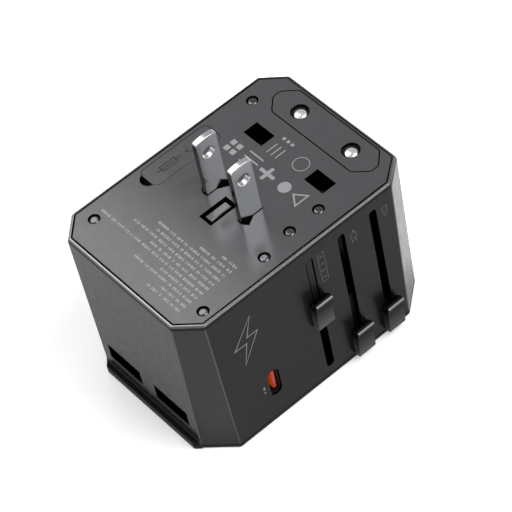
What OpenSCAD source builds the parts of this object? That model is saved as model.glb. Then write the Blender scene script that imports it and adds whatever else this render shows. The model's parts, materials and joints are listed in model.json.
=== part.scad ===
// Universal travel adapter: a chamfered housing with a plug face on top, a socket face
// underneath, three thumb sliders on the front and three USB ports.
// Millimetres. +Z is the way the plug pins point. The socket face rests on z = 0.

/* [Body] */
// Length of the housing, along X
body_w = 70; // [69:0.5:72]
// Depth of the housing, along Y
body_h = 50; // [49.5:0.5:52]
// Height of the housing, along Z
body_d = 48.5; // [48.5:0.5:50]
// Leg of each 45 degree corner chamfer at the socket face
corner = 6.8; // [6.4:0.2:7]
// Leg of each corner chamfer at the plug face, where the chamfers are narrower
corner_top = 5.6; // [5:0.2:6.4]
// Extra length, along the slider side, of the chamfer at the EU end
corner_extra = 1.3; // [1:0.1:1.4]
// Radius of the housing's upright corner edges
corner_r = 1; // [0.6:0.1:1.2]
// How far the housing's middle lies behind the plug's middle
body_y = 0.85; // [0.6:0.05:0.9]
// Wall of the housing
wall = 1.6; // [1.5:0.05:1.6]
// Width of the bevel round the plug face
bevel = 0.75; // [0.6:0.05:0.8]
// Height of the bevel round the plug face
bevel_h = 1.2; // [0.8:0.1:1.4]
// How far the foot lip under the USB-A ports stands out
lip_out = 1.3; // [0.8:0.1:1.6]

/* [Plug face] */
// Thickness of the plug face plate
plate_t = 2; // [2:0.1:2.2]
// Gap round the plate and round the platform
gap = 0.25; // [0.2:0.05:0.25]
// Spacing of the UK live pins, and of their earth pin from them
uk_pitch = 22.23; // [22.2:0.01:22.3]
// Spacing of the US blades
us_pitch = 12.7; // [12.6:0.1:12.8]
// Spacing of the EU pins
eu_pitch = 18.4; // [18.2:0.1:18.8]
// Angle that each US blade turns to suit an Australian outlet
aus_angle = 30; // [28:1:30]

/* [Sliders] */
// Width of each slider slot
slot_w = 2.3; // [2.1:0.1:2.4]
// Spacing of the slots
slot_pitch = 9.95; // [9.9:0.05:10]
// Width of a thumb knob
knob_w = 5; // [4.6:0.1:5.2]
// Length of a thumb knob along its slot
knob_len = 11; // [10.8:0.1:11.2]
// Height of a knob's ridge above the housing
knob_out = 3; // [2.6:0.1:3.2]
// Travel of the US slider
us_travel = 18.5; // [18:0.1:18.5]

/* [Blades and pins] */
// Width of a US blade
blade_w = 6.3; // [6.2:0.05:6.35]
// Thickness of a US blade
blade_t = 1.5; // [1.4:0.05:1.55]
// How far the US blades stand out
blade_out = 17.8; // [17:0.1:18]
// Radius of an EU pin's bare tip
eu_pin_r = 2; // [1.95:0.01:2]
// Thickness of the UK pins
uk_pin_t = 3.95; // [3.9:0.01:3.95]
// Width of the UK line and neutral pins
uk_live_w = 6.3; // [6.2:0.05:6.35]
// Width of the UK earth pin
uk_earth_w = 7.95; // [7.9:0.01:8]

/* [Ports] */
// Width of a USB-A opening
usb_a_w = 12.6; // [12.5:0.1:12.6]
// Height of a USB-A opening
usb_a_h = 5.2; // [5.1:0.1:5.3]
// Length of the USB-C opening
usb_c_l = 9; // [8.9:0.1:9.1]
// Width of the USB-C opening
usb_c_w = 3.4; // [3.3:0.1:3.5]

/* [Hidden] */
$fn = 48;
root2 = sqrt(2);
eps = 0.02;              // thickness of the slabs that a bevel is hulled from
rim = 0.1;               // flat left on the housing's rim inside the bevel
hair = 0.03;             // fit of a part pressed or screwed into another
run = 0.05;              // running clearance of a shaft in its bore

knob_gap = 0.15;         // gap between a knob and the housing
knob_reach = knob_gap + knob_out;
front_y = body_y - body_h / 2;
inner_y = front_y + wall;
ledge_z = body_d - plate_t;

// Plug layout, measured from the middle of the housing
live_x = 17.3;
earth_x = live_x - uk_pitch;
blade_x = -0.45;
platform_x = 28.7;
platform_w = 8.9;
platform_l = 35.4;
platform_tip = 2.2;      // flat at each pointed end of the platform
platform_r = 1.6;        // radius of the platform's corners
plate_r = 0.8;           // radius of the plate's corners
platform_z0 = 34.2;
eu_hole_r = 2.15;
eu_mouth_r = 2.35;       // countersink round an EU pin
eu_mouth_d = 0.2;
eu_tip_z = body_d - 0.25;
eu_bare = 9;             // bare length of an EU pin's tip
pin_fit = 0.17;          // gap round a pin in the plate
door_x = 0.2;
door_y = 20.2;
door_w = 21;
door_h = 6.6;
door_r = 1.8;
door_gap = 0.12;
notch_r = 2.3;
stud_spots = [[23.3, 20.7], [-26.6, 20.3], [-26.6, -20.3], [-6.7, -18.7],
  [2.4, -17.2], [11.4, -17.2]];
post_spots = [for (i = [0:3]) stud_spots[i]];
stud_r = 1.35;
stud_top_r = 0.6;        // flat top of a stud
stud_h = 0.5;            // height of a stud's rounded head
stud_shank_r = 0.9;
sink_r = 1.55;           // mouth of the pocket round a stud
sink_d = 0.6;

// Slots and sliders
slot_x = [for (i = [0:2]) 1.5 + i * slot_pitch];
slot_z0 = 4;
slot_z1 = 44.6;
us_knob_z = 20.8;
uk_knob_z = 1.1;
eu_knob_z = 1.3;
stem_w = slot_w - 0.2;
stem_z0 = 4.4;
stem_z1 = 8.8;
leg_y = front_y + 2.7;   // front face of every carrier leg
leg_t = 2;
strip_w = 3.8;
strip_y = inner_y + 0.1;
knob_r = 0.5;            // corner radius of a knob seen from the front
// A knob's outline seen from the side, as shares of knob_out and knob_len: the foot, the
// hollow thumb face, the overhang, the slanted top of the ridge, and back to the housing
knob_side = [[0, 0.03], [0.35, 0.035], [0.58, 0.06], [0.65, 0.1], [0.68, 0.25], [0.705, 0.4],
  [0.735, 0.55], [0.775, 0.7], [0.83, 0.835], [0.88, 0.875], [0.985, 0.905], [1, 0.925],
  [0.985, 0.94], [0.78, 0.99], [0.74, 1], [0, 0.855]];

// Carriers at rest
us_z0 = 38;
us_z1 = 43.2;
uk_z0 = 17;
uk_z1 = 22.5;
eu_z0 = 8;
eu_z1 = 13;
pivot_r = 2.2;
blade_hole_r = 1.75;
blade_hole_z = body_d + 12.9;
blade_crown = 0.4;       // rise of a blade's rounded end

// Socket side
cover_t = 2.5;
seam_z = 1.25;           // top of the cover's outer layer
seam_h = 0.25;           // shadow gap between cover and housing
spigot_z = 3.5;
socket_x = 12.35;
socket_earth_x = socket_x - uk_pitch;
socket_live = [4.8, 7.2];
socket_earth = [8.8, 4.8];
panel = [46, 32.4];      // shallow recess round the socket holes
panel_x = 3;
panel_d = 0.5;
floor_z0 = 4.5;
floor_z1 = 6;
chamber_z = 16.3;
contact_z = 15.4;
contact_t = 0.4;         // thickness of the contact strip
contact_gap = 4.2;       // between the middles of the two leaves
post_r = 2.2;
screw_r = 1.25;
screw_head_r = 2.4;
screw_z0 = 0.35;
screw_z1 = 11;
shutter_z0 = 2.7;
shutter_z1 = 4.3;
spring_y = 8;
spring_stop_x = 24.2;
spring_x0 = socket_x + 4.8;
spring_r = 0.62;
spring_wire_r = 0.14;
spring_turns = 6;
spring_sides = 6;
spring_rings = 9;        // rings in each turn

// Ports
usb_a_y = 9;
usb_a_z = 9.1;
usb_c_x = -14.85;
usb_c_z = 13.3;
metal_t = 0.35;
pcb_x = -18.2;
pcb_t = 1.6;

// Fuses
fuse_r = 2.4;
fuse_l = 20;
fuse_cap = 4.5;
fuse_z = [42.2, 36.4];
fuse_box = [22.6, 6.8];

// Everything is drawn about the middle of the housing, then seated so that the origin
// is the bottom centre of the whole adapter with its lip and knobs.
module seat() {
  translate([lip_out / 2, knob_reach / 2 - body_y, 0]) children();
}

module slab(z0, z1) {
  translate([0, 0, z0]) linear_extrude(z1 - z0) children();
}

// A box given by two opposite corners
module block(a, b) {
  translate(a) cube(b - a);
}

// A profile drawn as (x, z), extruded along Y about y = 0
module along_y(len) {
  translate([0, len / 2, 0]) rotate([90, 0, 0]) linear_extrude(len) children();
}

// A profile drawn as (y, z), extruded along X about x = 0
module along_x(len) {
  translate([-len / 2, 0, 0]) rotate([90, 0, 90]) linear_extrude(len) children();
}

// A convex outline with its corners rounded: the tangent points, and a disc in each corner
function unit(v) = v / norm(v);
function corner_turn(p, i) =
  let (n = len(p), a = unit(p[(i + n - 1) % n] - p[i]), b = unit(p[(i + 1) % n] - p[i]))
  [a, b, acos(a * b) / 2];

module soft_outline(p, r) {
  turns = [for (i = [0:len(p) - 1]) corner_turn(p, i)];
  polygon([for (i = [0:len(p) - 1], side = [0, 1]) p[i] + turns[i][side] * r / tan(turns[i][2])]);
  for (i = [0:len(p) - 1])
    translate(p[i] + unit(turns[i][0] + turns[i][1]) * r / sin(turns[i][2])) circle(r);
}

function octagon_points(inset, leg) =
  let (w = body_w / 2 - inset, h = body_h / 2 - inset, c = leg - inset * (2 - root2))
  [for (p = [[c - w, -h], [w - c - corner_extra, -h], [w, c - h], [w, h - c],
    [w - c, h], [c - w, h], [-w, h - c], [-w, c - h]]) p + [0, body_y]];

module octagon(inset = 0, leg = corner) {
  polygon(octagon_points(inset, leg));
}

module outside(inset = 0, leg = corner) {
  soft_outline(octagon_points(inset, leg), corner_r);
}

module rounded(w, h, r) {
  square([w - 2 * r, h], center = true);
  square([w, h - 2 * r], center = true);
  for (x = [-1, 1], y = [-1, 1]) translate([x * (w / 2 - r), y * (h / 2 - r)]) circle(r);
}

module stadium(w, h) {
  square([w, h - w], center = true);
  for (y = [-1, 1]) translate([0, y * (h - w) / 2]) circle(w / 2);
}

// ---- Housing ----

module slots() {
  for (x = slot_x)
    translate([x, front_y + wall / 2, (slot_z0 + slot_z1) / 2])
      along_y(wall + 1) stadium(slot_w, slot_z1 - slot_z0);
}

module usb_cuts() {
  for (y = [-1, 1])
    translate([-body_w / 2, body_y + y * usb_a_y, usb_a_z])
      along_x(3 * wall) rounded(usb_a_w, usb_a_h, 0.3);
  translate([usb_c_x, front_y, usb_c_z]) along_y(3 * wall) stadium(usb_c_w, usb_c_l);
}

// The planes of the corner chamfers at the socket face, which also end the foot lip
module between_corners() {
  side = (body_w + body_h) / 2 - corner;
  translate([0, body_y]) rotate(45) square(root2 * side, center = true);
}

// The foot lip under the USB-A ports, faired into the wall by a concave fillet
module lip() {
  base = seam_z + seam_h;
  flat_z = base + 0.9;
  intersection() {
    translate([-body_w / 2, body_y, 0]) along_y(body_h - 2 * corner) difference() {
      translate([-lip_out, base]) square([lip_out + wall / 2, flat_z + lip_out - base]);
      translate([-lip_out, flat_z + lip_out]) circle(lip_out);
    }
    slab(base, flat_z + lip_out) between_corners();
  }
}

module housing_shell() {
  base = seam_z + seam_h;
  roll_steps = 4;        // facets of the rolled edge round the plug face
  color([0.2, 0.2, 0.21]) seat() difference() {
    union() {
      hull() {
        slab(base, base + eps) outside();
        slab(body_d - bevel_h - eps, body_d - bevel_h) outside(0, corner_top);
      }
      hull() for (i = [0:roll_steps]) {
        a = 90 * i / roll_steps;
        z = body_d - bevel_h * (1 - sin(a));
        slab(z - eps, z) outside(bevel * (1 - cos(a)), corner_top);
      }
      lip();
    }
    slab(base - 1, ledge_z) octagon(wall);
    slab(ledge_z, body_d + 1) soft_outline(octagon_points(bevel + rim, corner_top), plate_r + gap);
    slots();
    usb_cuts();
  }
}

// ---- Plug face ----

// The slot a blade turns in: both end positions and the sweep between them
module bow_tie(a) {
  r = blade_w / 2 + 0.3;
  for (t = [0, a]) rotate(t) square([blade_w + 2 * pin_fit, blade_t + 2 * pin_fit], center = true);
  intersection() {
    circle(r);
    for (t = [0, 180]) rotate(t) polygon([[0, 0], [2 * r, 0], 2 * r * [cos(a), sin(a)]]);
  }
}

module platform_outline(grow = 0) {
  w = platform_w / 2 + grow;
  l = platform_l / 2 + grow;
  t = platform_tip / 2 + grow * (root2 - 1);
  c = w - t;
  soft_outline([[-w, c - l], [-t, -l], [t, -l], [w, c - l], [w, l - c], [t, l], [-t, l], [-w, l - c]],
    platform_r + grow);
}

module plate_cuts() {
  for (s = [-1, 1]) translate([live_x, s * uk_pitch / 2])
    square([uk_pin_t + 2 * pin_fit, uk_live_w + 2 * pin_fit], center = true);
  translate([earth_x, 0]) square([uk_earth_w + 2 * pin_fit, uk_pin_t + 2 * pin_fit], center = true);
  for (s = [-1, 1]) translate([blade_x, s * us_pitch / 2]) bow_tie(-s * aus_angle);
  translate([platform_x, 0]) platform_outline(gap);
  translate([door_x, door_y]) rounded(door_w + 2 * door_gap, door_h + 2 * door_gap, door_r + door_gap);
  translate([door_x - door_w / 2 + notch_r / 4, door_y]) circle(notch_r);
}

module face_plate() {
  color([0.36, 0.37, 0.38]) seat() difference() {
    slab(ledge_z, body_d) soft_outline(octagon_points(bevel + rim + gap, corner_top), plate_r);
    slab(ledge_z - 1, body_d + 1) plate_cuts();
    for (p = stud_spots) translate([p[0], p[1], 0]) {
      slab(ledge_z - 1, body_d) circle(stud_shank_r + hair);
      translate([0, 0, body_d - sink_d]) cylinder(h = sink_d + eps, r1 = stud_r + hair, r2 = sink_r);
    }
  }
}

module face_studs() {
  head_z = plate_t - sink_d;
  arc_steps = 6;
  head = [for (i = [0:arc_steps]) let (a = 90 * i / arc_steps)
    [stud_top_r + (stud_r - stud_top_r) * sin(a), head_z + stud_h * cos(a)]];
  color([0.45, 0.46, 0.47]) seat() for (p = stud_spots) translate([p[0], p[1], ledge_z])
    rotate_extrude() polygon(concat([[0, 0], [0, head_z + stud_h]], head,
      [[stud_shank_r, head_z], [stud_shank_r, 0]]));
}

module fuse_door() {
  skirt = 1.6;
  color([0.34, 0.35, 0.36]) seat() translate([door_x, door_y, 0]) {
    slab(ledge_z + gap / 2, body_d) rounded(door_w, door_h, door_r);
    for (s = [-1, 1]) slab(ledge_z + gap / 2 - skirt, ledge_z + gap / 2)
      translate([s * 6, 0]) square([3, 4.6], center = true);
  }
}

// ---- Socket face ----

module live_aperture() {
  square(socket_live, center = true);
  translate([0, -1.6]) circle(2.5);
  translate([0, us_pitch / 2 - uk_pitch / 2]) square([7.2, 2.2], center = true);
  translate([0, 0.7 + us_pitch / 2 - uk_pitch / 2]) rotate(-aus_angle) square([7, 2], center = true);
}

module socket_apertures() {
  for (s = [0, 1]) mirror([0, s]) translate([socket_x, uk_pitch / 2]) live_aperture();
  translate([socket_earth_x, 0]) square(socket_earth, center = true);
}

module socket_cover() {
  foot = 0.4;
  color([0.16, 0.16, 0.17]) seat() difference() {
    union() {
      hull() {
        slab(0, eps) outside(foot);
        slab(foot, seam_z) outside();
      }
      slab(0, seam_z) intersection() {
        translate([-(body_w + lip_out - wall) / 2, body_y])
          square([lip_out + wall, body_h - 2 * corner], center = true);
        between_corners();
      }
      slab(seam_z, seam_z + seam_h) octagon(0.3);
      slab(seam_z + seam_h, spigot_z) octagon(wall + 0.1);
    }
    slab(cover_t, spigot_z + 1) difference() {
      octagon(wall + 1.1);
      for (p = post_spots) translate(p) circle(post_r);
    }
    slab(-1, cover_t + 1) socket_apertures();
    slab(-1, panel_d) translate([panel_x, 0]) difference() {
      rounded(panel[0], panel[1], 5);
      rounded(panel[0] - 1.2, panel[1] - 1.2, 4.4);
    }
    for (p = post_spots) translate([p[0], p[1], 0]) {
      hole_r = screw_r + 0.15;
      head_r = screw_head_r + 0.15;
      translate([0, 0, -1]) cylinder(h = spigot_z + 2, r = hole_r);
      translate([0, 0, screw_z0]) cylinder(h = screw_head_r - screw_r, r1 = head_r, r2 = hole_r);
      translate([0, 0, -1]) cylinder(h = 1 + screw_z0 + eps, r = head_r);
    }
  }
}

module case_screws() {
  color([0.55, 0.56, 0.58]) seat() for (p = post_spots) translate([p[0], p[1], screw_z0]) difference() {
    union() {
      cylinder(h = screw_head_r - screw_r, r1 = screw_head_r, r2 = screw_r);
      cylinder(h = screw_z1 - screw_z0, r = screw_r);
    }
    translate([0, 0, -1]) cylinder(h = 1.9, r = 0.8, $fn = 6);
  }
}

// ---- Inside: chassis, contacts and shutter ----

module chamber(w, l) {
  difference() {
    square([w, l], center = true);
    square([w - 1.8, l - 1.8], center = true);
  }
}

module chassis() {
  color([0.13, 0.13, 0.14]) seat() difference() {
    union() {
      slab(floor_z0, floor_z1) difference() {
        octagon(wall + 0.3);
        translate([-2.6, -body_h]) square([body_w, body_h - 16.8]);
      }
      for (s = [-1, 1]) slab(floor_z1, chamber_z)
        translate([socket_x, s * 10.4]) chamber(9.4, 12.8);
      slab(floor_z1, chamber_z) translate([socket_earth_x, 0]) chamber(11, 7.4);
      for (p = post_spots) translate([p[0], p[1], spigot_z]) cylinder(h = ledge_z - spigot_z, r = post_r);
      for (s = [-1, 1]) translate([spring_stop_x, s * spring_y, (shutter_z0 + floor_z0) / 2])
        translate([0.6, 0, 0]) cube([1.2, 3, floor_z0 - shutter_z0 + eps], center = true);
    }
    slab(floor_z0 - 1, floor_z1 + 1) socket_apertures();
    for (p = post_spots) translate([p[0], p[1], spigot_z - 1]) cylinder(h = 9, r = screw_r + hair);
  }
}

// A stamped contact: a strip bent round a UK or EU pin, with a fork for a US blade
module live_contact() {
  blade_y = us_pitch / 2;
  color([0.8, 0.63, 0.3]) seat() slab(floor_z1, contact_z) translate([socket_x, 0]) {
    for (s = [-1, 1]) translate([s * contact_gap / 2, 11.1]) square([contact_t, 8], center = true);
    translate([0, 15.1 - contact_t / 2]) square([contact_gap, contact_t], center = true);
    for (s = [-1, 1]) translate([0, blade_y + s * 0.95]) square([7.4, contact_t], center = true);
    translate([3.5, blade_y]) square([contact_t, 2.3], center = true);
  }
}

module contact_line() {
  live_contact();
}

module contact_neutral() {
  translate([0, knob_reach - 2 * body_y, 0]) mirror([0, 1, 0]) live_contact();
}

module contact_earth() {
  color([0.8, 0.63, 0.3]) seat() slab(floor_z1, contact_z) translate([socket_earth_x, 0]) {
    for (s = [-1, 1]) translate([0, s * contact_gap / 2]) square([8.8, contact_t], center = true);
    translate([-4.2, 0]) square([contact_t, contact_gap], center = true);
  }
}

// The shutter covers the line and neutral holes. Its arm reaches the earth hole, where the
// longer earth pin meets the ramp and drives the shutter aside.
module socket_shutter() {
  ramp = shutter_z1 - shutter_z0;
  tip = socket_earth_x + 1.6;
  color([0.85, 0.45, 0.12]) seat() {
    for (s = [-1, 1])
      block([socket_x - 2.7, s * 10.2 - 5.3, shutter_z0], [socket_x + 2.8, s * 10.2 + 5.3, shutter_z1]);
    block([socket_x + 2.7, -15.5, shutter_z0], [spring_x0, 15.5, shutter_z1]);
    along_y(3) polygon([[tip + ramp, shutter_z0], [socket_x + 2.8, shutter_z0],
      [socket_x + 2.8, shutter_z1], [tip, shutter_z1]]);
  }
}

// A coil spring along X: rings of points that follow the helix, skinned into one solid
function coil_ring(a, len, turns) = [for (k = [0:spring_sides - 1])
  let (b = 360 * k / spring_sides, r = spring_r + spring_wire_r * cos(b))
  [len * a / (360 * turns) + spring_wire_r * sin(b), r * cos(a), r * sin(a)]];

module coil(len) {
  n = spring_turns * spring_rings;
  m = spring_sides;
  l = len - 2 * spring_wire_r;
  points = [for (i = [0:n]) each coil_ring(360 * i / spring_rings, l, spring_turns)];
  sides = [for (i = [0:n - 1], k = [0:m - 1], t = [0, 1])
    let (a = i * m + k, b = i * m + (k + 1) % m)
    t == 0 ? [a, b, b + m] : [a, b + m, a + m]];
  ends = [[for (k = [m - 1:-1:0]) k], [for (k = [0:m - 1]) n * m + k]];
  translate([spring_wire_r, 0, 0]) polyhedron(points, concat(sides, ends), convexity = 6);
}

module shutter_springs() {
  color([0.7, 0.7, 0.72]) seat() for (s = [-1, 1])
    translate([spring_x0 + hair, s * spring_y, (shutter_z0 + shutter_z1) / 2])
      coil(spring_stop_x - spring_x0 - 2 * hair);
}

// ---- Inside: fuses ----

module fuse_holder() {
  z0 = fuse_z[1] - fuse_r - 1.4;
  color([0.12, 0.12, 0.13]) seat() translate([door_x, door_y - 0.3, 0]) difference() {
    slab(z0, ledge_z) square(fuse_box, center = true);
    slab(z0 + 1, ledge_z + 1) square([fuse_l + 1.2, 5.4], center = true);
  }
}

module fuse_clips() {
  color([0.8, 0.63, 0.3]) seat() for (z = fuse_z, s = [-1, 1])
    translate([door_x + s * (fuse_l / 2 + 0.3), door_y - 0.3, z]) cube([0.5, 4.2, 3.6], center = true);
}

module fuse_tubes() {
  color([0.93, 0.92, 0.88]) seat() for (z = fuse_z)
    translate([door_x, door_y - 0.3, z]) rotate([0, 90, 0])
      cylinder(h = fuse_l - 2 * fuse_cap, r = fuse_r - 0.15, center = true);
}

module fuse_caps() {
  color([0.78, 0.79, 0.8]) seat() for (z = fuse_z, s = [-1, 1])
    translate([door_x + s * (fuse_l - fuse_cap) / 2, door_y - 0.3, z]) rotate([0, 90, 0])
      cylinder(h = fuse_cap, r = fuse_r, center = true);
}

// ---- Inside: charger board ----

module pcb() {
  color([0.1, 0.32, 0.2]) seat() block([pcb_x, -20.5, 6.3], [pcb_x + pcb_t, 20.5, 45]);
}

module transformer() {
  color([0.9, 0.75, 0.2]) seat() difference() {
    block([-30, -7.5, 21], [pcb_x, 7.5, 33]);
    block([-31, -3, 22], [pcb_x + 1, 3, 32]);
  }
}

module transformer_core() {
  color([0.15, 0.15, 0.16]) seat() block([-32, -2.9, 22.1], [pcb_x, 2.9, 31.9]);
}

module capacitors() {
  color([0.1, 0.12, 0.3]) seat() for (p = [[13.4, 22], [13.4, 33], [-13.4, 40]])
    translate([pcb_x - 12, p[0], p[1]]) rotate([0, 90, 0]) cylinder(h = 12, r = 4);
}

module inductor() {
  r = 2;
  color([0.55, 0.3, 0.12]) seat() translate([pcb_x - r - hair, -13.8, 26]) rotate([0, 90, 0])
    rotate_extrude() translate([4, 0]) circle(r);
}

// ---- Ports ----

module usb_a_shells() {
  x0 = wall - body_w / 2 + 0.1;
  color([0.7, 0.71, 0.73]) seat() translate([0, body_y, 0]) for (s = [-1, 1]) difference() {
    block([x0, s * usb_a_y - usb_a_w / 2 - metal_t, usb_a_z - usb_a_h / 2 - 0.2],
      [pcb_x, s * usb_a_y + usb_a_w / 2 + metal_t, usb_a_z + usb_a_h / 2 + metal_t]);
    block([x0 - 1, s * usb_a_y - usb_a_w / 2, usb_a_z - usb_a_h / 2 + 0.15],
      [pcb_x - 0.6, s * usb_a_y + usb_a_w / 2, usb_a_z + usb_a_h / 2]);
  }
}

module usb_a_tongues() {
  color([0.85, 0.36, 0.08]) seat() translate([0, body_y, 0]) for (s = [-1, 1])
    block([0.2 - body_w / 2 + wall, s * usb_a_y - 5.5, usb_a_z - 1.9],
      [pcb_x - 0.6, s * usb_a_y + 5.5, usb_a_z - 0.1]);
}

module usb_c_shell() {
  depth = 8.2;
  color([0.7, 0.71, 0.73]) seat() translate([usb_c_x, front_y + wall + depth / 2 - 1, usb_c_z])
    difference() {
      along_y(depth) stadium(usb_c_w - 0.1, usb_c_l - 0.1);
      translate([0, -0.8, 0]) along_y(depth) stadium(usb_c_w - 0.7, usb_c_l - 0.7);
    }
}

module usb_c_tongue() {
  color([0.9, 0.38, 0.08]) seat()
    block([usb_c_x - 0.1, front_y + 1.1, usb_c_z - 3.5],
      [usb_c_x + 0.85, front_y + wall + 6.4, usb_c_z + 3.5]);
}

// ---- Sliders ----

// A thumb knob on a stem that runs through its slot
module knob(x, z0) {
  face_y = front_y - knob_gap;
  translate([x, 0, z0]) {
    intersection() {
      along_x(knob_w) polygon([for (p = knob_side) [face_y - p[0] * knob_out, p[1] * knob_len]]);
      translate([0, front_y, knob_len / 2]) along_y(4 * knob_out) rounded(knob_w, knob_len, knob_r);
    }
    block([-stem_w / 2, face_y - 0.1, stem_z0], [stem_w / 2, leg_y, stem_z1]);
  }
}

// The dust strip that rides behind a slot
module strip(x, z0, z1, w = strip_w) {
  block([x - w / 2, strip_y, z0], [x + w / 2, leg_y, z1]);
}

// A carrier's leg, which stands behind its slot
module leg(x, w, z0, z1) {
  block([x - w / 2, leg_y, z0], [x + w / 2, leg_y + leg_t, z1]);
}

module us_knob() {
  color([0.17, 0.17, 0.18]) seat() knob(slot_x[0], us_knob_z);
}

// The US strip has a rib that fills its slot, almost flush with the housing
module us_strip() {
  x = slot_x[0];
  z0 = us_knob_z + stem_z1 + 0.2;
  rib_w = slot_w - 0.7;
  rib_z = (z0 + slot_z1 - 0.2) / 2;
  rib_len = slot_z1 - 0.2 - z0;
  rib_y = front_y + 0.2;
  color([0.22, 0.22, 0.23]) seat() {
    strip(x, z0, ledge_z - 0.3);
    translate([x, (rib_y + strip_y + hair) / 2, rib_z]) along_y(strip_y + hair - rib_y)
      stadium(rib_w, rib_len);
  }
}

module us_carrier() {
  bx = blade_x;
  color([0.1, 0.1, 0.11]) seat() difference() {
    union() {
      slab(us_z0, us_z1) {
        for (s = [-1, 1]) translate([bx, s * 6.5]) square([9.2, 7], center = true);
        for (s = [-1, 1]) translate([-10.3, s * 6]) square([11.8, 4.8], center = true);
        translate([-15.2, 0]) square([2, 14], center = true);
        translate([slot_x[0] - 2.1, leg_y]) square([4.2, 14]);
      }
      leg(slot_x[0], 4.2, 22, us_z1);
    }
    for (s = [-1, 1]) translate([bx, s * us_pitch / 2, 0]) slab(us_z0 - 1, us_z1 + 1) circle(pivot_r + run);
  }
}

// A flat blade on a round pivot, with the usual hole near its tip
module blade() {
  z0 = us_z1 + 0.3;
  z1 = body_d + blade_out;
  color([0.78, 0.79, 0.8]) difference() {
    union() {
      along_y(blade_t) polygon(concat([[blade_w / 2, z0], [blade_w / 2, z1 - 2 * blade_crown]],
        [for (i = [3:-1:-3]) [i * blade_w / 7, z1 - blade_crown * pow(i / 3, 2)]],
        [[-blade_w / 2, z1 - 2 * blade_crown], [-blade_w / 2, z0]]));
      slab(us_z0 - 0.3, z0) circle(pivot_r);
      slab(us_z0 - 1.1, us_z0 - 0.3) circle(pivot_r + 0.9);
    }
    translate([0, 0, blade_hole_z]) rotate([90, 0, 0])
      cylinder(h = blade_t + 1, r = blade_hole_r, center = true);
    for (s = [-1, 1]) translate([0, s * blade_t / 2, z1]) rotate([s * 24, 0, 0])
      translate([0, s * 0.6, 0]) cube([blade_w + 1, 1.2, 2.6], center = true);
  }
}

module us_blade_line() {
  seat() translate([blade_x, us_pitch / 2, 0]) blade();
}

module us_blade_neutral() {
  seat() translate([blade_x, -us_pitch / 2, 0]) blade();
}

module uk_knob() {
  color([0.17, 0.17, 0.18]) seat() knob(slot_x[1], uk_knob_z);
}

module uk_strip() {
  color([0.22, 0.22, 0.23]) seat() strip(slot_x[1], uk_knob_z + stem_z1 + 0.2, 20.4, slot_w);
}

module uk_tang_holes(grow) {
  for (s = [-1, 1]) translate([live_x, s * uk_pitch / 2]) square([2 + grow, 4.6 + grow], center = true);
}

module uk_carrier() {
  x = slot_x[1];
  color([0.1, 0.1, 0.11]) seat() difference() {
    union() {
      slab(uk_z0, uk_z1) {
        translate([-5.2, -2.6]) square([live_x + 5.2, 5.2]);
        translate([live_x - 1.6, -14.4]) square([3.7, 28.8]);
        translate([x - 1.9, -17.4]) square([live_x + 2.1 - x + 1.9, 3.2]);
        translate([x - 1.9, leg_y]) square([3.8, 6]);
      }
      leg(x, 3.8, 4.8, uk_z1);
    }
    slab(uk_z0 - 1, uk_z1 + 1) {
      uk_tang_holes(2 * hair);
      translate([-3, 0]) square([3 + 2 * hair, 2 + 2 * hair], center = true);
    }
  }
}

module uk_live_pins() {
  bare_z = 34.4;
  tip_z = 43;
  color([0.82, 0.72, 0.45]) seat() {
    slab(uk_z0, uk_z1) uk_tang_holes(0);
    for (s = [-1, 1]) translate([live_x, s * uk_pitch / 2, 0]) {
      slab(uk_z1, bare_z) square([uk_pin_t - 1, uk_live_w - 1], center = true);
      slab(bare_z, tip_z - 1) square([uk_pin_t, uk_live_w], center = true);
      hull() {
        slab(tip_z - 1, tip_z - 1 + eps) square([uk_pin_t, uk_live_w], center = true);
        slab(tip_z - eps, tip_z) square([uk_pin_t - 1.4, uk_live_w - 1.6], center = true);
      }
    }
  }
}

module uk_pin_sleeves() {
  color([0.08, 0.08, 0.09]) seat() for (s = [-1, 1])
    slab(uk_z1, 34.4) translate([live_x, s * uk_pitch / 2]) difference() {
      square([uk_pin_t, uk_live_w], center = true);
      square([uk_pin_t - 1 + 2 * hair, uk_live_w - 1 + 2 * hair], center = true);
    }
}

module uk_earth_pin() {
  tip_z = body_d - 0.1;
  shoulder_z = 23;
  color([0.42, 0.42, 0.41]) seat() translate([earth_x, 0, 0]) {
    slab(uk_z0, uk_z1) translate([-3 - earth_x, 0]) square([3, 2], center = true);
    slab(uk_z1, shoulder_z) translate([(-5.2 - earth_x + uk_earth_w / 2) / 2, 0])
      square([uk_earth_w / 2 + 5.2 + earth_x, uk_pin_t], center = true);
    slab(shoulder_z, tip_z - 1) square([uk_earth_w, uk_pin_t], center = true);
    hull() {
      slab(tip_z - 1, tip_z - 1 + eps) square([uk_earth_w, uk_pin_t], center = true);
      slab(tip_z - eps, tip_z) square([uk_earth_w - 2, uk_pin_t - 2], center = true);
    }
  }
}

module eu_knob() {
  color([0.17, 0.17, 0.18]) seat() knob(slot_x[2], eu_knob_z);
}

module eu_carrier() {
  x = slot_x[2];
  color([0.1, 0.1, 0.11]) seat() difference() {
    union() {
      slab(eu_z0, eu_z1) polygon([[x - 1.55, leg_y], [27, leg_y], [31.1, -18.4], [31.1, 11.8],
        [26.3, 11.8], [26.3, -17.6], [x - 1.55, -17.6]]);
      leg(x, 3.1, 4.8, eu_z1);
    }
    for (s = [-1, 1]) translate([platform_x, s * eu_pitch / 2, 0])
      slab(eu_z0 - 1, eu_z1 + 1) circle(eu_pin_r - 0.5 + hair);
  }
}

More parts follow.
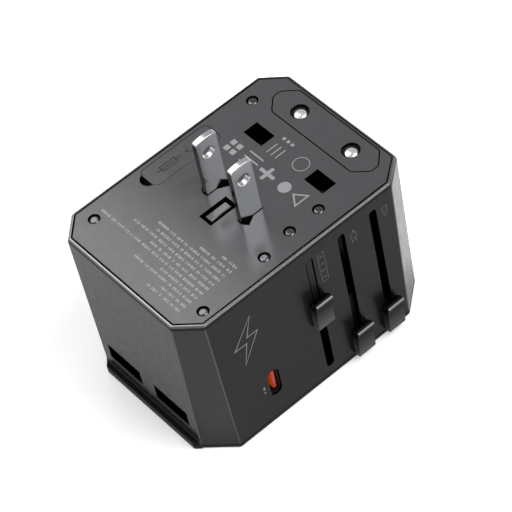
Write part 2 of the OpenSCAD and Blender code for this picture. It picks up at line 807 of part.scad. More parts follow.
module eu_pins() {
  dome_h = 0.9;
  dome_steps = 8;
  dome = [for (i = [0:dome_steps]) let (a = 90 * (1 - i / dome_steps))
    [eu_pin_r * sin(a), eu_tip_z - dome_h * (1 - cos(a))]];
  color([0.8, 0.81, 0.82]) seat() for (s = [-1, 1]) translate([platform_x, s * eu_pitch / 2, 0])
    rotate_extrude() polygon(concat([[0, eu_z0], [eu_pin_r - 0.5, eu_z0],
      [eu_pin_r - 0.5, eu_tip_z - eu_bare], [eu_pin_r, eu_tip_z - eu_bare]], dome));
}

module eu_pin_sleeves() {
  color([0.08, 0.08, 0.09]) seat() for (s = [-1, 1]) translate([platform_x, s * eu_pitch / 2, 0])
    slab(eu_z1, eu_tip_z - eu_bare) difference() {
      circle(eu_pin_r - 0.1);
      circle(eu_pin_r - 0.5 + hair);
    }
}

module eu_platform() {
  color([0.33, 0.34, 0.35]) seat() translate([platform_x, 0, 0]) difference() {
    slab(platform_z0, body_d) platform_outline();
    for (s = [-1, 1]) translate([0, s * eu_pitch / 2, 0]) {
      slab(platform_z0 - 1, body_d + 1) circle(eu_hole_r);
      translate([0, 0, body_d - eu_mouth_d])
        cylinder(h = eu_mouth_d + eps, r1 = eu_hole_r, r2 = eu_mouth_r + hair);
    }
  }
}

housing_shell();
face_plate();
socket_cover();
face_studs();
case_screws();
chassis();
contact_line();
contact_neutral();
contact_earth();
socket_shutter();
shutter_springs();
fuse_holder();
fuse_clips();
fuse_tubes();
fuse_caps();
fuse_door();
pcb();
transformer();
transformer_core();
capacitors();
inductor();
usb_a_shells();
usb_a_tongues();
usb_c_shell();
usb_c_tongue();
us_knob();
us_strip();
us_carrier();
us_blade_line();
us_blade_neutral();
uk_knob();
uk_strip();
uk_carrier();
uk_live_pins();
uk_pin_sleeves();
uk_earth_pin();
eu_knob();
eu_carrier();
eu_pins();
eu_pin_sleeves();
eu_platform();
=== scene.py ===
"""Looks of the universal travel adapter: bevels, materials, prints, light and camera."""
import json
import math
import random

import bmesh
import bpy
from mathutils import Matrix, Vector


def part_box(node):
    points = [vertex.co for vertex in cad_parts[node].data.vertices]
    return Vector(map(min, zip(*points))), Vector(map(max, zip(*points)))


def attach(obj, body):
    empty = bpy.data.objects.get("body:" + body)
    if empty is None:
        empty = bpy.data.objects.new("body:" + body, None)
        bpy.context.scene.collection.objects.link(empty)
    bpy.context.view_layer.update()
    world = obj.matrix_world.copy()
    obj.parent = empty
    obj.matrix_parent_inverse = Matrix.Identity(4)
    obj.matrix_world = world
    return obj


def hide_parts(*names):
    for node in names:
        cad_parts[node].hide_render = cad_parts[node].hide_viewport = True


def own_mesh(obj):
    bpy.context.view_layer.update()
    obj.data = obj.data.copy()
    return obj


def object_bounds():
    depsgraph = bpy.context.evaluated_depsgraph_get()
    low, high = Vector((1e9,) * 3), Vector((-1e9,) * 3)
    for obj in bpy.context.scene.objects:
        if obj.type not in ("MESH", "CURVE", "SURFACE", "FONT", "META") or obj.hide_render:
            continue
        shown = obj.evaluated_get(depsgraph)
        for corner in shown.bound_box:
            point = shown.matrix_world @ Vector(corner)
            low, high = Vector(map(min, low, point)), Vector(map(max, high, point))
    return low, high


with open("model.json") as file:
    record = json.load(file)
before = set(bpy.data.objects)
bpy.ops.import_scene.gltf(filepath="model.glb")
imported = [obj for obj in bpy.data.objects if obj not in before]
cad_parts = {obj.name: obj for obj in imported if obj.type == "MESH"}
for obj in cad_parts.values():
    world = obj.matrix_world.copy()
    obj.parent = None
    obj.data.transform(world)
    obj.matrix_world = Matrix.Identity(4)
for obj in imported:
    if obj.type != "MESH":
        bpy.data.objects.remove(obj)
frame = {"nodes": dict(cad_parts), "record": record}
CAD_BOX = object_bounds()
NODES = frame["nodes"]
MM = 0.001

# Places on the housing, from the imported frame
PLATE_LO, PLATE_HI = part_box("face_plate")
SHELL_LO, SHELL_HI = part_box("housing_shell")
MID_X = (PLATE_LO.x + PLATE_HI.x) / 2
MID_Y = (PLATE_LO.y + PLATE_HI.y) / 2
PLUG_Y = MID_Y - 0.85 * MM      # the plug's own middle lies in front of the housing's
TOP_Z = PLATE_HI.z
FRONT_Y = SHELL_LO.y
SIDE_X = 2 * MID_X - SHELL_HI.x
HALF_W = SHELL_HI.x - MID_X
HALF_H = MID_Y - SHELL_LO.y
LEG_LOW = 6.8 * MM              # leg of the corner chamfers at the socket face
LEG_TOP = 5.6 * MM              # and at the plug face
LEG_EXTRA = 1.3 * MM            # extra length of the chamfer at the EU end of the slider side
LOW_Z = 1.5 * MM                # where the chamfers start to narrow
PLATE_INSET = 1.1 * MM          # from the housing's outline to the plug face plate
BEVEL_H = 1.2 * MM              # height of the bevel round the plug face, and its slope
BEVEL_SLOPE = 0.75 / 1.2
# The rolled and upright edge values paint highlights: they raise the shine far above the plastic's own.
FLAT_IOR = 1.2                  # shine of the housing's faces,
ROLL_IOR = 2.7                  # of the rolled edge round the plug face,
UPRIGHT_IOR = 1.4               # and of the upright edges
PLATE_COLOUR = (0.05, 0.051, 0.054)


# ---- Materials -------------------------------------------------------------------------

class Shader:
    """A small wrapper round one material's node tree."""

    def __init__(self, name):
        self.material = bpy.data.materials.new(name)
        self.material.use_nodes = True
        self.tree = self.material.node_tree
        self.bsdf = self.tree.nodes["Principled BSDF"]
        self.place = self.node("ShaderNodeTexCoord").outputs["Object"]

    def node(self, kind, **values):
        made = self.tree.nodes.new(kind)
        for key, value in values.items():
            if isinstance(key, str) and hasattr(made, key):
                setattr(made, key, value)
            else:
                made.inputs[key.replace("_", " ")].default_value = value
        return made

    def link(self, source, target):
        self.tree.links.new(source, target)

    def noise(self, size, detail=2.0, stretch=(1, 1, 1)):
        """Noise whose blobs are about `size` metres across, stretched along an axis."""
        scaled = self.node("ShaderNodeMapping")
        scaled.inputs["Scale"].default_value = [1 / (size * s) for s in stretch]
        self.link(self.place, scaled.inputs["Vector"])
        made = self.node("ShaderNodeTexNoise")
        made.inputs["Scale"].default_value = 1.0
        made.inputs["Detail"].default_value = detail
        self.link(scaled.outputs[0], made.inputs["Vector"])
        return made.outputs["Fac"]

    def spread(self, source, low, high):
        """Maps the useful part of a noise value to low..high."""
        made = self.node("ShaderNodeMapRange")
        for key, value in (("From Min", 0.3), ("From Max", 0.7), ("To Min", low), ("To Max", high)):
            made.inputs[key].default_value = value
        self.link(source, made.inputs["Value"])
        return made.outputs[0]

    def colour(self, base, vary, size):
        """The base colour, a little lighter and darker in soft patches."""
        made = self.node("ShaderNodeMix", data_type="RGBA")
        made.inputs["A"].default_value = [c * (1 - vary) for c in base] + [1]
        made.inputs["B"].default_value = [min(1, c * (1 + vary)) for c in base] + [1]
        self.link(self.noise(size), made.inputs["Factor"])
        return made.outputs["Result"]

    def math(self, operation, a, b=0.0, c=0.0):
        made = self.node("ShaderNodeMath", operation=operation)
        for slot, value in zip(made.inputs, (a, b, c)):
            if isinstance(value, (int, float)):
                slot.default_value = value
            else:
                self.link(value, slot)
        return made.outputs[0]

    def ramp(self, source, start, end, low=0.0, high=1.0):
        made = self.node("ShaderNodeMapRange", clamp=True)
        for key, value in (("From Min", start), ("From Max", end), ("To Min", low), ("To Max", high)):
            made.inputs[key].default_value = value
        self.link(source, made.inputs["Value"])
        return made.outputs[0]

    def axes(self):
        return self.node_from("ShaderNodeSeparateXYZ", self.place).outputs

    def node_from(self, kind, source):
        made = self.node(kind)
        self.link(source, made.inputs[0])
        return made

    def paint_shade(self, inside):
        """Paints shade: takes colour and shine away where `inside` is 1, on walls of openings and gaps."""
        old = self.bsdf.inputs["Base Color"].links[0].from_socket
        made = self.node("ShaderNodeMix", data_type="RGBA")
        made.inputs["B"].default_value = (0.0006, 0.0006, 0.0006, 1)
        self.link(old, made.inputs["A"])
        self.link(inside, made.inputs["Factor"])
        self.link(made.outputs["Result"], self.bsdf.inputs["Base Color"])
        self.link(self.ramp(inside, 0, 1, 0.5, 0.0), self.bsdf.inputs["Specular IOR Level"])

    def bump(self, heights):
        """Stacks bumps given as (noise value, depth in metres, strength)."""
        normal = None
        for value, depth, strength in heights:
            made = self.node("ShaderNodeBump")
            made.inputs["Distance"].default_value = depth
            made.inputs["Strength"].default_value = strength
            self.link(value, made.inputs["Height"])
            if normal:
                self.link(normal, made.inputs["Normal"])
            normal = made.outputs[0]
        self.link(normal, self.bsdf.inputs["Normal"])


def moulded(name, base, rough, grain=0.12, depth=0.004, ior=1.45, vary=0.06, coat=0.0, dark=None):
    """Moulded plastic with a fine spark-eroded grain; grain and depth are in millimetres."""
    s = Shader(name)
    s.link(s.colour(base, vary, 6 * MM), s.bsdf.inputs["Base Color"])
    s.link(s.spread(s.noise(2 * MM), rough - 0.03, rough + 0.03), s.bsdf.inputs["Roughness"])
    s.bsdf.inputs["IOR"].default_value = ior
    s.bsdf.inputs["Coat Weight"].default_value = coat
    s.bsdf.inputs["Coat Roughness"].default_value = rough * 0.5
    s.bump([(s.noise(grain * MM, 3), depth * MM, 0.5), (s.noise(9 * MM, 1), 0.01 * MM, 0.3)])
    if dark:
        dark(s)
    return s.material


def metal(name, base, rough, brush=(1, 1, 12), grain=0.05, depth=0.001, vary=0.05, uneven=0.2, dark=None):
    """Metal with a fine brushed or stamped grain that runs along the stretched axis."""
    s = Shader(name)
    s.bsdf.inputs["Metallic"].default_value = 1.0
    s.link(s.colour(base, vary, 1.5 * MM), s.bsdf.inputs["Base Color"])
    lines = s.noise(grain * MM, 3, brush)
    s.link(s.spread(lines, rough * (1 - uneven), rough * (1 + uneven)), s.bsdf.inputs["Roughness"])
    s.bump([(lines, depth * MM, 0.4), (s.noise(2 * MM, 1), 0.003 * MM, 0.25)])
    if dark:
        dark(s)
    return s.material


def ink(name, base):
    """Pad-printed ink: matt, slightly uneven in cover."""
    s = Shader(name)
    s.link(s.colour(base, 0.12, 0.25 * MM), s.bsdf.inputs["Base Color"])
    s.bsdf.inputs["Roughness"].default_value = 0.55
    s.bsdf.inputs["IOR"].default_value = 1.4
    s.bump([(s.noise(0.08 * MM), 0.002 * MM, 0.4)])
    return s.material


def inward(s, leg):
    """Distance of a point inside the housing's eight-sided outline, for a chamfer leg."""
    axes = s.axes()
    x = s.math("SUBTRACT", axes["X"], MID_X)
    y = s.math("SUBTRACT", axes["Y"], MID_Y)
    far_x, far_y = s.math("ABSOLUTE", x), s.math("ABSOLUTE", y)
    side = s.math("MINIMUM", s.math("SUBTRACT", HALF_W, far_x), s.math("SUBTRACT", HALF_H, far_y))
    reach = s.math("SUBTRACT", HALF_W + HALF_H, leg)
    corner = s.math("SUBTRACT", reach, s.math("ADD", far_x, far_y))
    nearest = s.math("MINIMUM", side, s.math("MULTIPLY", corner, math.sqrt(0.5)))
    long_leg = s.math("ADD", leg, LEG_EXTRA)
    span = s.math("SQRT", s.math("ADD", s.math("MULTIPLY", leg, leg), s.math("MULTIPLY", long_leg, long_leg)))
    across = s.math("MULTIPLY", long_leg, s.math("ADD", y, HALF_H))
    along = s.math("MULTIPLY", leg, s.math("ADD", s.math("SUBTRACT", x, HALF_W), long_leg))
    return s.math("MINIMUM", nearest, s.math("DIVIDE", s.math("SUBTRACT", across, along), span))


def painted_shade_below_face(s, depth=0.04):
    """Darkens what lies under the plug face (hole and gap walls) and the plate's rim line: painted shade and
    a painted shadow line, fainter toward the +X end.
    """
    z = s.axes()["Z"]
    under = s.ramp(z, TOP_Z - 2 * depth * MM, TOP_Z - depth * MM, 1, 0)
    # Painted shadow line round the plate's edge, where its gap is.
    rim = s.ramp(inward(s, LEG_TOP), PLATE_INSET + 0.15 * MM, PLATE_INSET + 0.35 * MM, 1, 0)
    far = s.ramp(s.axes()["X"], 26 * MM, 33 * MM, 1, 0.5)
    s.paint_shade(s.math("MAXIMUM", under, s.math("MULTIPLY", rim, far)))


def painted_gap_shade(s):
    """Paints shade on a rising piece's side only where the gap round it hides it at rest."""
    z = s.axes()["Z"]
    band = s.math("MULTIPLY", s.ramp(z, TOP_Z - 0.08 * MM, TOP_Z - 0.04 * MM, 1, 0),
                  s.ramp(z, TOP_Z - 0.9 * MM, TOP_Z - 0.7 * MM))
    s.paint_shade(band)


def painted_shade_and_edge_highlights(s):
    """Paints shade in the housing's openings and its inside, and paints highlights on its rounded edges by
    raising their shine.
    """
    z = s.axes()["Z"]
    depth = inward(s, s.ramp(z, LOW_Z, TOP_Z - BEVEL_H, LEG_LOW, LEG_TOP))
    top = s.math("MAXIMUM", 0.0, s.math("SUBTRACT", z, TOP_Z - BEVEL_H))
    depth = s.math("SUBTRACT", depth, s.math("MULTIPLY", top, BEVEL_SLOPE))
    s.paint_shade(s.ramp(depth, 0.12 * MM, 0.25 * MM))
    # Painted highlights: the shine rises on the upper part of the rolled edge round the plug face and on the
    # upright edges.
    rolled = s.ramp(z, TOP_Z - 0.45 * BEVEL_H, TOP_Z - 0.25 * BEVEL_H, FLAT_IOR, ROLL_IOR)
    upright = s.ramp(depth, 0.012 * MM, 0.03 * MM, FLAT_IOR, UPRIGHT_IOR)
    # Painted shade: below the outline, on the foot's lip, the shine is lowered.
    outside = s.ramp(depth, -0.5 * MM, -0.1 * MM, FLAT_IOR - 1.07, 0)
    edges = s.math("MAXIMUM", rolled, upright)
    s.link(s.math("SUBTRACT", edges, outside), s.bsdf.inputs["IOR"])


def shaded_blade_sides(s):
    """Paints shade on the narrow sides of a stamped blade, darkening them almost to black."""
    off = s.math("ABSOLUTE", s.math("SUBTRACT", s.axes()["X"], MID_X - 0.45 * MM))
    s.paint_shade(s.ramp(off, 3.0 * MM, 3.1 * MM, 0, 0.9))


def painted_front_shade_and_glow(s):
    """Paints shade on the USB-C tongue's front edge in deep red, where its sides are orange, and paints light
    on the tongues as a faint glow.
    """
    old = s.bsdf.inputs["Base Color"].links[0].from_socket
    made = s.node("ShaderNodeMix", data_type="RGBA")
    made.inputs["B"].default_value = (0.3, 0.012, 0.003, 1)
    s.link(old, made.inputs["A"])
    front = FRONT_Y + 1.15 * MM
    s.link(s.ramp(s.axes()["Y"], front, front + 0.1 * MM, 1, 0), made.inputs["Factor"])
    s.link(made.outputs["Result"], s.bsdf.inputs["Base Color"])
    # Painted light: the tongues glow faintly in their own colour.
    s.link(made.outputs["Result"], s.bsdf.inputs["Emission Color"])
    s.bsdf.inputs["Emission Strength"].default_value = 0.25


def shaded_pin_bevel(s):
    """Blackens the bevelled end of the earth pin, round its flat tip, as painted shade."""
    z = s.axes()["Z"]
    below = s.ramp(z, TOP_Z - 0.3 * MM, TOP_Z - 0.2 * MM, 1, 0)
    above = s.ramp(z, TOP_Z - 1.3 * MM, TOP_Z - 1.15 * MM)
    s.paint_shade(s.math("MULTIPLY", below, above))


def painted_knob_light_and_shade(s):
    """Paints shade and light on a knob: black under its ridge, paler toward its foot, and a painted highlight
    on the ridge from raised shine.
    """
    up = s.node_from("ShaderNodeSeparateXYZ", s.node("ShaderNodeTexCoord").outputs["Generated"])
    paler = s.node("ShaderNodeMix", data_type="RGBA")
    paler.inputs["A"].default_value = (0.075, 0.075, 0.077, 1)
    paler.inputs["B"].default_value = (0.002, 0.002, 0.002, 1)
    s.link(s.ramp(up.outputs["Z"], 0.0, 0.75), paler.inputs["Factor"])
    s.link(paler.outputs["Result"], s.bsdf.inputs["Base Color"])
    # Painted highlight: a band of raised shine along the ridge.
    ridge = s.math("MULTIPLY", s.ramp(up.outputs["Z"], 0.9, 0.915),
                   s.ramp(up.outputs["Z"], 0.955, 0.97, 1, 0))
    s.link(s.ramp(ridge, 0, 1, 1.1, 1.8), s.bsdf.inputs["IOR"])


MATERIALS = {
    "housing_plastic": moulded("housing_plastic", (0.0065, 0.0067, 0.0074), 0.28, depth=0.0015,
                                dark=painted_shade_and_edge_highlights),
    "plate_plastic": moulded("plate_plastic", PLATE_COLOUR, 0.2, ior=1.6, depth=0.0015,
                             dark=painted_shade_below_face),
    "cover_plastic": moulded("cover_plastic", (0.007, 0.007, 0.0075), 0.4, ior=1.2),
    "knob_plastic": moulded("knob_plastic", (0.016, 0.016, 0.017), 0.24, depth=0.002, ior=1.4,
                            dark=painted_knob_light_and_shade),
    "inner_plastic": moulded("inner_plastic", (0.002, 0.002, 0.002), 0.7, ior=1.1),
    "earth_pin_nickel": metal("earth_pin_nickel", (0.1, 0.1, 0.098), 0.25, grain=0.1, dark=shaded_pin_bevel),
    "sleeve_plastic": moulded("sleeve_plastic", (0.008, 0.008, 0.009), 0.4),
    "stud_steel": metal("stud_steel", (0.12, 0.12, 0.125), 0.14, brush=(1, 1, 1)),
    "screw_steel": metal("screw_steel", (0.5, 0.5, 0.52), 0.3, brush=(1, 1, 1)),
    "blade_nickel": metal("blade_nickel", (0.6, 0.61, 0.63), 0.2, brush=(2, 2, 40), depth=0.0001,
                          uneven=0.08, dark=shaded_blade_sides),
    "pin_brass": metal("pin_brass", (0.72, 0.56, 0.3), 0.24),
    "pin_nickel": metal("pin_nickel", (0.9, 0.9, 0.91), 0.2),
    "contact_brass": metal("contact_brass", (0.7, 0.5, 0.2), 0.3),
    "spring_steel": metal("spring_steel", (0.5, 0.5, 0.52), 0.25, brush=(12, 1, 1)),
    "usb_steel": metal("usb_steel", (0.035, 0.035, 0.037), 0.45, brush=(12, 1, 1)),
    "tongue_orange": moulded("tongue_orange", (0.85, 0.11, 0.008), 0.32, vary=0.1, dark=painted_front_shade_and_glow),
    "shutter_plastic": moulded("shutter_plastic", (0.04, 0.04, 0.043), 0.5),
    "fuse_ceramic": moulded("fuse_ceramic", (0.85, 0.83, 0.76), 0.2),
    "fuse_metal": metal("fuse_metal", (0.7, 0.7, 0.71), 0.2),
    "board_green": moulded("board_green", (0.015, 0.12, 0.05), 0.35, grain=0.5),
    "tape_yellow": moulded("tape_yellow", (0.7, 0.45, 0.03), 0.3, grain=0.4),
    "ferrite": moulded("ferrite", (0.03, 0.03, 0.032), 0.6, grain=0.1, depth=0.01),
    "capacitor_sleeve": moulded("capacitor_sleeve", (0.015, 0.02, 0.1), 0.25),
    "copper": metal("copper", (0.6, 0.2, 0.08), 0.3, brush=(1, 1, 1)),
}
RISING = moulded("rising_plastic", PLATE_COLOUR, 0.2, ior=1.6, depth=0.0015, dark=painted_gap_shade)
OWN_LOOK = {"eu_platform": RISING, "fuse_door": RISING}
# Painted shadow line: near-black put on the bevels round the plug face plate and the EU platform, where their
# gaps are.
GAP_SHADOW_LINE = moulded("gap_shadow_line", (0.0008, 0.0008, 0.0008), 0.8, ior=1.1)
# Painted highlight: a lighter, shinier plastic on the housing's bevel faces.
EDGE_HIGHLIGHT = moulded("painted_edge_highlight", (0.03, 0.03, 0.032), 0.32, ior=1.5)
INK_LIGHT = ink("ink_light", (0.26, 0.26, 0.27))
INK_SMALL = ink("ink_small", (0.36, 0.36, 0.37))
INK_GREY = ink("ink_grey", (0.14, 0.14, 0.148))
INK_DIM = ink("ink_dim", (0.06, 0.06, 0.063))
INK_DARK = ink("ink_dark", (0.008, 0.008, 0.009))


# ---- The CAD pieces: moulded edges and materials -----------------------------------------

EDGE = {"housing_shell": 0.1, "face_plate": 0.09, "fuse_door": 0.05, "eu_platform": 0.14,
        "us_knob": 0.14, "uk_knob": 0.14, "eu_knob": 0.14, "socket_cover": 0.12,
        "us_blade_line": 0.12, "us_blade_neutral": 0.12, "face_studs": 0.06,
        "uk_earth_pin": 0.1, "uk_live_pins": 0.15, "uk_pin_sleeves": 0.05,
        "us_strip": 0.1, "uk_strip": 0.1, "usb_c_tongue": 0.12, "usb_a_tongues": 0.1,
        "usb_c_shell": 0.05, "usb_a_shells": 0.05, "capacitors": 0.4, "fuse_caps": 0.2,
        "fuse_tubes": 0.1, "transformer": 0.3, "transformer_core": 0.3, "case_screws": 0.08}
EDGE_OTHER = 0.08
BEVEL_PAINT = {"housing_shell": EDGE_HIGHLIGHT, "face_plate": GAP_SHADOW_LINE, "eu_platform": GAP_SHADOW_LINE}
SMOOTH_NODES = {"shutter_springs", "inductor"}


def modifier(obj, kind, **values):
    made = obj.modifiers.new(kind.lower(), kind)
    for key, value in values.items():
        setattr(made, key, value)
    return made


def soften(obj, width_mm):
    """Rounds every sharp edge, as a mould or a die does, and gives the housing's bevels a painted highlight
    and the plate's and EU platform's a painted shadow line.
    """
    look = BEVEL_PAINT.get(obj.name)
    if look:
        obj.data.materials.append(look)
    modifier(obj, "BEVEL", width=width_mm * MM, segments=3, limit_method="ANGLE",
             angle_limit=math.radians(28), use_clamp_overlap=True, miter_outer="MITER_ARC",
             material=1 if look else -1)
    modifier(obj, "WEIGHTED_NORMAL", mode="FACE_AREA", weight=80)


def finish_cad_nodes():
    slots = {row["node"]: row["material_slot"] for row in frame["record"]["subparts"]}
    for name, obj in NODES.items():
        obj.data.materials.clear()
        obj.data.materials.append(OWN_LOOK.get(name, MATERIALS[slots[name]]))
        modifier(obj, "WELD", merge_threshold=0.002 * MM)
        if name in SMOOTH_NODES:
            modifier(obj, "WEIGHTED_NORMAL")
            continue
        modifier(obj, "DECIMATE", decimate_type="DISSOLVE", angle_limit=math.radians(0.5))
        soften(obj, EDGE.get(name, EDGE_OTHER))


def coil_springs():
    """Stands for the shutter's springs, which shorten as it slides toward their stop; this copy is fixed to
    the housing and keeps its length.
    """
    node = NODES["shutter_springs"]
    piece = bpy.data.objects.new("coil_springs", node.data.copy())
    bpy.context.scene.collection.objects.link(piece)
    modifier(piece, "WELD", merge_threshold=0.002 * MM)
    for face in piece.data.polygons:
        face.use_smooth = True
    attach(piece, "housing")
    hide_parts("shutter_springs")
    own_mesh(piece)


# ---- Prints: thin ink shapes drawn on a face ----------------------------------------------

INK_MM = 0.02                    # thickness of the ink above the surface
ROOT_MM = 0.01                   # how far it reaches into the surface
TICK = 0.72                      # height of the small print's ticks


class Print:
    """A drawing in millimetres on one plane, built as one thin mesh."""

    def __init__(self, name, origin, across, up, body, material, slot):
        self.name, self.body, self.material, self.slot = name, body, material, slot
        self.origin, self.across, self.up = Vector(origin), Vector(across), Vector(up)
        self.out = self.across.cross(self.up)
        self.bm = bmesh.new()

    def point(self, p, height):
        flat = self.across * (p[0] * MM) + self.up * (p[1] * MM)
        return self.bm.verts.new(self.origin + flat + self.out * (height * MM))

    def patch(self, outline):
        """Fills a convex outline, given anticlockwise."""
        low = [self.point(p, -ROOT_MM) for p in outline]
        high = [self.point(p, INK_MM) for p in outline]
        self.bm.faces.new(high)
        self.bm.faces.new(low[::-1])
        for i in range(len(outline)):
            j = (i + 1) % len(outline)
            self.bm.faces.new((low[i], low[j], high[j], high[i]))

    def line(self, points, width, closed=False):
        """Draws a stroke with mitred corners through the points."""
        pts = [Vector(p) for p in points]
        n = len(pts)
        sides = []
        for i, p in enumerate(pts):
            before = pts[i - 1] if closed or i else None
            after = pts[(i + 1) % n] if closed or i < n - 1 else None
            a = (p - before).normalized() if before is not None else None
            b = (after - p).normalized() if after is not None else None
            a, b = a or b, b or a
            na, nb = Vector((-a.y, a.x)), Vector((-b.y, b.x))
            mid = (na + nb).normalized()
            reach = width / 2 / max(0.4, mid.dot(na))
            sides.append((p + mid * reach, p - mid * reach))
        rings = [[self.point(left, INK_MM), self.point(right, INK_MM),
                  self.point(right, -ROOT_MM), self.point(left, -ROOT_MM)] for left, right in sides]
        for i in range(n if closed else n - 1):
            a, b = rings[i], rings[(i + 1) % n]
            for k in range(4):
                self.bm.faces.new((a[k], a[(k + 1) % 4], b[(k + 1) % 4], b[k]))
        if not closed:
            self.bm.faces.new(rings[0])
            self.bm.faces.new(rings[-1][::-1])

    def arc(self, centre, radius, start, sweep, width, steps=24):
        points = [(centre[0] + radius * math.cos(math.radians(start + sweep * i / steps)),
                   centre[1] + radius * math.sin(math.radians(start + sweep * i / steps)))
                  for i in range(steps if sweep == 360 else steps + 1)]
        self.line(points, width, closed=sweep == 360)

    def box(self, centre, size, width):
        x, y, w, h = *centre, size[0] / 2, size[1] / 2
        self.line([(x - w, y - h), (x + w, y - h), (x + w, y + h), (x - w, y + h)], width, True)

    def bar(self, centre, size):
        x, y, w, h = *centre, size[0] / 2, size[1] / 2
        self.patch([(x - w, y - h), (x + w, y - h), (x + w, y + h), (x - w, y + h)])

    def done(self):
        bmesh.ops.recalc_face_normals(self.bm, faces=self.bm.faces)
        mesh = bpy.data.meshes.new(self.name)
        self.bm.to_mesh(mesh)
        self.bm.free()
        mesh.materials.append(self.material)
        obj = bpy.data.objects.new(self.name, mesh)
        bpy.context.scene.collection.objects.link(obj)
        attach(obj, self.body)
        return obj


def on_plate(name, material, body="housing"):
    """Millimetres from the middle of the plug: +X along the plate, +Y away from the sliders."""
    return Print(name, (MID_X, PLUG_Y, TOP_Z), (1, 0, 0), (0, 1, 0), body, material, "plate_plastic")


def on_front(name, material):
    """Millimetres along X from the middle, and up from the socket face, on the slider side."""
    return Print(name, (MID_X, FRONT_Y, 0), (1, 0, 0), (0, 0, 1), "housing", material,
                 "housing_plastic")


def on_side(name, material):
    """Millimetres along -Y from the middle, and up, on the side with the USB-A ports."""
    return Print(name, (SIDE_X, MID_Y, 0), (0, -1, 0), (0, 0, 1), "housing", material,
                 "housing_plastic")


def plate_symbols():
    """Plain shapes, none of them a mark, where the real plate has its signs."""
    p = on_plate("plate_symbols", INK_LIGHT)
    for dx in (-1.1, 1.1):                              # four squares
        for dy in (-1.1, 1.1):
            p.bar((10.4 + dx, 12.6 + dy), (1.5, 1.5))
    for dx in (-1.8, 0, 1.8):                           # three bars
        p.bar((10.6 + dx, 6.2), (0.4, 4.9))
    p.bar((10.4, 0.1), (4.2, 1.0))                      # cross
    p.bar((10.4, 1.6), (1.0, 2.0))
    p.bar((10.4, -1.4), (1.0, 2.0))
    p.patch([(10.4 + 1.7 * math.cos(math.radians(15 * k)), -6.2 + 1.7 * math.sin(math.radians(15 * k)))
             for k in range(24)])                       # disc
    p.line([(8.3, -12.4), (12.5, -12.4), (10.4, -9.4)], 0.42, True)
    for y in (2.4, 3.9, 5.4):                           # three short bars
        p.bar((16.5, y), (3.4, 0.3))
    for y in (2.4, 3.9, 5.4):
        p.bar((20.4, y), (0.85, 0.85))
    p.arc((17.8, -3.7), 2.1, 0, 360, 0.2)
    p.done()


def plate_small_print():
    """Rows of separate ticks in place of the small print. No tick joins another, so none is a letter."""
    row_tops = (-4, -8, 2.4, -3.5, 22, 3.5, 12.4, 6, 8.2, -7.6, -12.6)
    row_x0, row_step, row_end = -30.4, 1.72, -16.2
    p = on_plate("plate_small_print", INK_SMALL)
    rng = random.Random(7)
    for k, top in enumerate(row_tops):
        x = row_x0 + row_step * k
        y = row_end
        while y < top:
            for _ in range(rng.randint(2, 7)):
                thick = rng.choice((0.12, 0.2, 0.3))
                p.bar((x, y), (TICK, thick))
                y += thick + 0.3
            y += 0.55
    p.done()


def front_symbols():
    p = on_front("charge_symbol", INK_GREY)
    bolt = [(-17.4, 41.4), (-23.4, 33.2), (-19.8, 33.2), (-21.4, 26.4), (-16.2, 35.0), (-19.4, 35.0)]
    p.line(bolt, 0.3, True)
    p.done()
    p = on_front("slider_symbols", INK_DIM)
    for z in (35.2, 37.6, 40, 42.4):                    # flat-blade plug
        p.bar((5.0, z), (1.1, 0.3))
    p.box((5.0, 38.8), (1.9, 10), 0.14)
    p.box((15.0, 41.3), (1.7, 1.7), 0.16)               # three-pin plug
    p.bar((15.0, 42.9), (0.35, 0.8))
    for x in (14.5, 15.5):
        p.bar((x, 39.6), (0.35, 0.8))
    p.box((24.9, 42), (1.3, 2.2), 0.16)                 # round-pin plug
    for x in (24.6, 25.2):
        p.bar((x, 40.2), (0.2, 0.9))
    p.done()
    p = on_front("usb_c_symbol", INK_GREY)
    p.bar((-18.2, 12.2), (0.5, 0.5))
    p.bar((-18.2, 13.8), (0.5, 1.2))
    p.done()


def side_symbols():
    p = on_side("usb_a_symbols", INK_DIM)
    for y, z in ((0.1, 15.4), (0, 5.4)):
        p.bar((y, z), (0.9, 0.18))
        p.bar((y, z), (0.18, 0.9))
    for y in (-9, 9):
        p.box((y, 13.4), (1.6, 0.5), 0.12)
    p.done()


def door_symbol():
    """The fuse sign, sunk in the door."""
    p = on_plate("door_symbol", INK_DARK, "fuse_door")
    x, y = -3.6, 20.2
    p.box((x, y), (4.6, 1.7), 0.22)
    p.line([(x - 3.8, y), (x + 3.8, y)], 0.22)
    p.line([(x + 6.6, y + 1), (x + 5.4, y), (x + 6.6, y - 1)], 0.22)
    p.done()


# ---- Stage, light and camera ---------------------------------------------------------------

def glowing_floor(name, colour, rough):
    """The floor: glows a little all over, and more at the port corner and the EU end, as painted light that
    the housing's chamfers mirror.
    """
    s = Shader(name)
    s.bsdf.inputs["Base Color"].default_value = (*colour, 1)
    s.bsdf.inputs["Emission Color"].default_value = (*colour, 1)
    x, y = s.axes()["X"], s.axes()["Y"]
    port_corner_glow = s.math("MULTIPLY", s.ramp(x, -36 * MM, -27 * MM, 1, 0),
                         s.ramp(y, -24 * MM, -16 * MM, 1.1, 0))
    eu_end_glow = s.math("MULTIPLY", s.ramp(x, 36 * MM, 44 * MM),
                    s.ramp(y, -32 * MM, -24 * MM, 0, 1.0))
    s.link(s.math("ADD", 0.35, s.math("ADD", port_corner_glow, eu_end_glow)), s.bsdf.inputs["Emission Strength"])
    s.bsdf.inputs["Roughness"].default_value = rough
    s.bsdf.inputs["Specular IOR Level"].default_value = 0.1
    return s.material


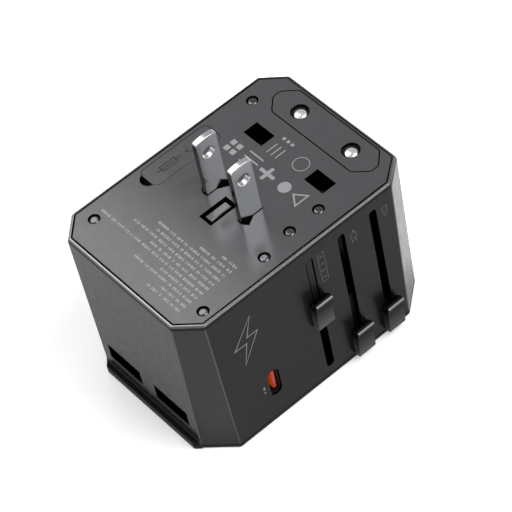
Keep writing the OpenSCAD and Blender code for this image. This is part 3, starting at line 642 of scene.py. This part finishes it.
def floor():
    half = 2.5
    mesh = bpy.data.meshes.new("floor")
    mesh.from_pydata([(-half, -half, 0), (half, -half, 0), (half, half, 0), (-half, half, 0)],
                     [], [(0, 1, 2, 3)])
    mesh.materials.append(glowing_floor("floor_white", (0.88, 0.88, 0.88), 0.9))
    obj = bpy.data.objects.new("floor", mesh)
    obj.location.z = CAD_BOX[0][2] - 0.02 * MM
    bpy.context.scene.collection.objects.link(obj)


def softbox(name, place, target, size, power, colour=(1, 1, 1)):
    data = bpy.data.lights.new(name, "AREA")
    data.shape = "RECTANGLE"
    data.size, data.size_y = size
    data.energy = power
    data.color = colour
    obj = bpy.data.objects.new(name, data)
    obj.location = place
    obj.rotation_euler = (Vector(target) - Vector(place)).to_track_quat("-Z", "Y").to_euler()
    bpy.context.scene.collection.objects.link(obj)
    return obj


def lights():
    """A large key box in front, and a low box behind that the left of the plug face mirrors."""
    middle = (MID_X, MID_Y, 30 * MM)
    softbox("key", (0.32, -0.50, 0.74), middle, (0.7, 0.7), 7)
    panel = softbox("back_panel", (-0.032, 0.15, 0.25), middle, (0.2, 0.18), 0.3)
    panel.rotation_euler = (0, 0, 0)
    world = bpy.data.worlds.new("studio")
    world.use_nodes = True
    back = world.node_tree.nodes["Background"]
    back.inputs["Color"].default_value = (1, 1, 1, 1)
    back.inputs["Strength"].default_value = 0.5
    bpy.context.scene.world = world


def camera():
    """Looks down on the plug face from the port corner, rolled a little."""
    right = Vector((0.751, -0.643, -0.1504))
    up = Vector((0.5745, 0.5239, 0.6288))
    back = right.cross(up).normalized()
    right = up.cross(back).normalized()
    turn = Matrix((right, up.normalized(), back)).transposed()
    data = bpy.data.cameras.new("camera")
    data.lens = 193.7
    data.sensor_width = 36
    data.clip_start = 0.01
    obj = bpy.data.objects.new("camera", data)
    obj.matrix_world = Matrix.Translation((-0.2136, -0.37065, 0.5324)) @ turn.to_4x4()
    bpy.context.scene.collection.objects.link(obj)
    bpy.context.scene.camera = obj


camera()
finish_cad_nodes()
coil_springs()
plate_symbols()
plate_small_print()
front_symbols()
side_symbols()
door_symbol()
floor()
lights()
bpy.context.scene.view_settings.view_transform = "Standard"
